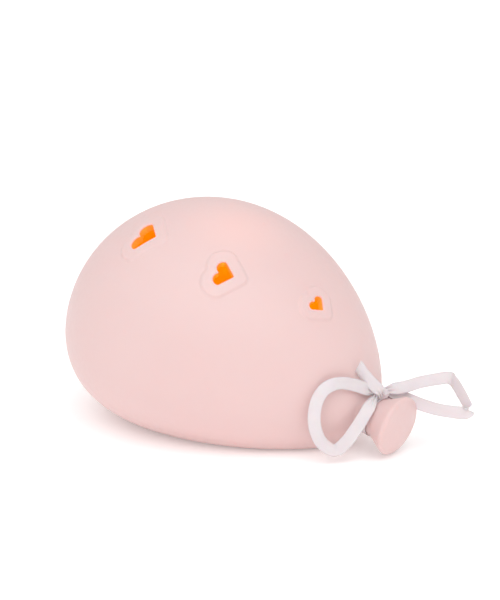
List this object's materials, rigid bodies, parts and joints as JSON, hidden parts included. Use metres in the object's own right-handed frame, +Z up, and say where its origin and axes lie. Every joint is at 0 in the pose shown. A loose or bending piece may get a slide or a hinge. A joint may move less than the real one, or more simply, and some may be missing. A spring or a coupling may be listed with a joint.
{
  "type": "balloon lamp",
  "caption": "Small porcelain table lamp shaped like a tied party balloon lying down, with heart cut-outs, a satin ribbon bow and a pull-out battery LED module in its flat base.",
  "frame": {"origin": "on the table plane, at the centre of the round hole in the flat base", "axes": "+Z up; +X along the balloon, from its round end towards its tied neck; the hearts are on the -Y side"},
  "size_m": [0.2097, 0.14, 0.1085],
  "materials": {
    "porcelain": "unglazed pale pink bisque, lit from inside",
    "ring_rubber": "soft translucent white",
    "ribbon_satin": "satin, white with a pink tint",
    "housing_plastic": "fine spark texture",
    "plate_plastic": "fine spark texture",
    "board": "green solder mask",
    "led_resin": "clear amber resin",
    "holder_plastic": "moulded",
    "resistor_body": "lacquered",
    "switch_metal": "bright tinned steel",
    "switch_knob": "moulded",
    "contact_metal": "nickel plated spring steel",
    "cell_steel": "polished steel can",
    "door_plastic": "fine spark texture",
    "screw_steel": "zinc plated",
    "wire_red_pvc": "insulation",
    "wire_black_pvc": "insulation"
  },
  "bodies": {
    "lamp": {"balloon_shell": "porcelain", "socket_ring": "ring_rubber", "ribbon_bow": "ribbon_satin"},
    "led_module": {"housing_cup": "housing_plastic", "base_plate": "plate_plastic", "circuit_board": "board", "amber_led": "led_resin", "led_holder": "holder_plastic", "resistor": "resistor_body", "switch_body": "switch_metal", "contact_positive": "contact_metal", "contact_negative": "contact_metal", "cell_1": "cell_steel", "cell_2": "cell_steel", "cell_3": "cell_steel", "housing_screws": "screw_steel", "wire_red": "wire_red_pvc", "wire_black": "wire_black_pvc", "wire_switch": "wire_black_pvc"},
    "battery_door": {"battery_door": "door_plastic"},
    "door_screw": {"door_screw": "screw_steel"},
    "switch_slider": {"switch_slider": "switch_knob"}
  },
  "joints": [
    {"name": "module_pull", "type": "slide", "parent": "lamp", "child": "led_module", "axis": [0, 0, -1], "range_m": [0, 0.03]},
    {"name": "door_pull", "type": "slide", "parent": "led_module", "child": "battery_door", "axis": [0, 0, -1], "range_m": [0, 0.02]},
    {"name": "door_screw_turn", "type": "hinge", "parent": "battery_door", "child": "door_screw", "pos_m": [0.0118, -0.005, 0], "axis": [0, 0, 1], "continuous": true},
    {"name": "switch_slide", "type": "slide", "parent": "led_module", "child": "switch_slider", "axis": [1, 0, 0], "range_m": [0, 0.003]}
  ]
}
